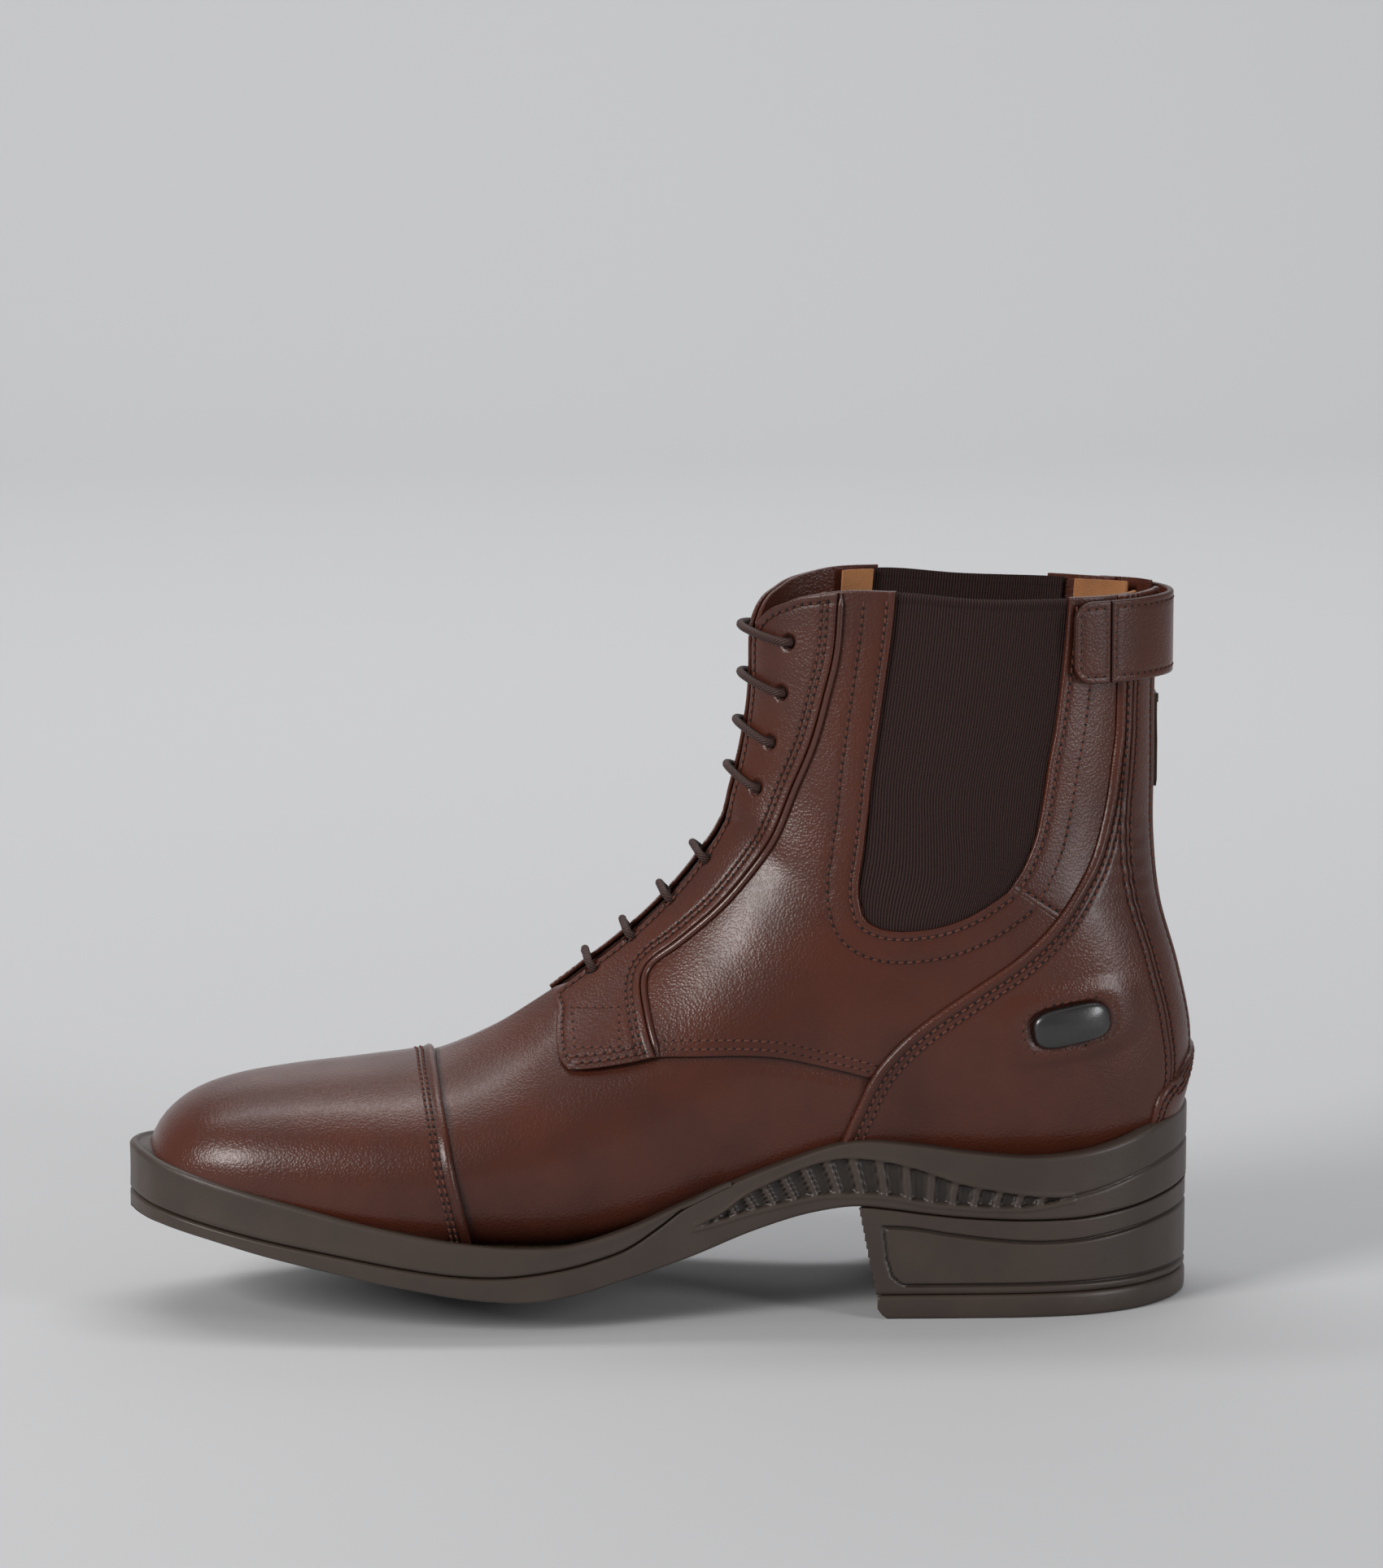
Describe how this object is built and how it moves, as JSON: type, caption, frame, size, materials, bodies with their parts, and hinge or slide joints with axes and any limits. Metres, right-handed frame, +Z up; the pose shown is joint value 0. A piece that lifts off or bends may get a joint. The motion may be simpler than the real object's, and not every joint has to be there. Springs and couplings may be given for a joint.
{
  "type": "lace-up riding boot",
  "caption": "Ankle-high leather riding boot for the right foot, with laces, elastic side gussets, a back zip with a press-stud tab, and a low block heel.",
  "frame": {"origin": "on the ground below the middle of the boot", "axes": "+X towards the heel, -X towards the toe; -Y is the inner (medial) side, +Y the outer side; +Z up"},
  "size_m": [0.2934, 0.0974, 0.2008],
  "materials": {
    "leather": "smooth reddish dark brown leather, satin, fine pebble grain",
    "lining": "tan suede lining, matt",
    "elastic": "black-brown ribbed elastic",
    "rubber": "dark grey-brown moulded rubber, matt",
    "spur_rubber": "black moulded rubber",
    "lace": "dark brown braided cord",
    "brass": "aged brass",
    "zip": "dark brown zip tape and teeth",
    "board": "stiffener board",
    "cork": "cork sheet",
    "steel": "spring steel"
  },
  "bodies": {
    "root": {"toe_cap": "leather", "vamp": "leather", "quarter_medial": "leather", "quarter_lateral": "leather", "gusset_strip_medial": "leather", "gusset_strip_lateral": "leather", "facing_medial": "leather", "facing_lateral": "leather", "facing_piping_medial": "leather", "facing_piping_lateral": "leather", "counter_cover_medial": "leather", "counter_cover_lateral": "leather", "back_strip_medial": "leather", "back_strip_lateral": "leather", "heel_patch": "leather", "tongue": "leather", "tab_base": "leather", "lining_vamp": "lining", "lining_medial": "lining", "lining_lateral": "lining", "footbed": "lining", "gusset_medial": "elastic", "gusset_lateral": "elastic", "welt": "rubber", "outsole": "rubber", "heel_block": "rubber", "heel_lift": "rubber", "spur_rest_medial": "spur_rubber", "spur_rest_lateral": "spur_rubber", "lace": "lace", "zip_bottom_stop": "brass", "snap_back": "brass", "snap_stud": "brass", "zip_tape_medial": "zip", "zip_tape_lateral": "zip", "zip_teeth_medial": "zip", "zip_teeth_lateral": "zip", "toe_puff": "board", "heel_counter": "board", "insole_board": "board", "cork_filler": "cork", "shank": "steel"},
    "slider": {"zip_slider": "brass"},
    "puller": {"zip_puller": "brass"},
    "tab": {"tab_strap": "leather", "snap_cap": "brass"}
  },
  "joints": [
    {"name": "zip_slide", "type": "slide", "parent": "root", "child": "slider", "axis": [0, 0, -1], "range_m": [0, 0.022]},
    {"name": "puller_swing", "type": "hinge", "parent": "slider", "child": "puller", "pos_m": [0.13634, -0.00275, 0.167], "axis": [0, -1, 0], "range_deg": [0, 95]},
    {"name": "tab_open", "type": "hinge", "parent": "root", "child": "tab", "pos_m": [0.12159, -0.02588, 0.186], "axis": [0, 0, -1], "range_deg": [0, 75]}
  ]
}
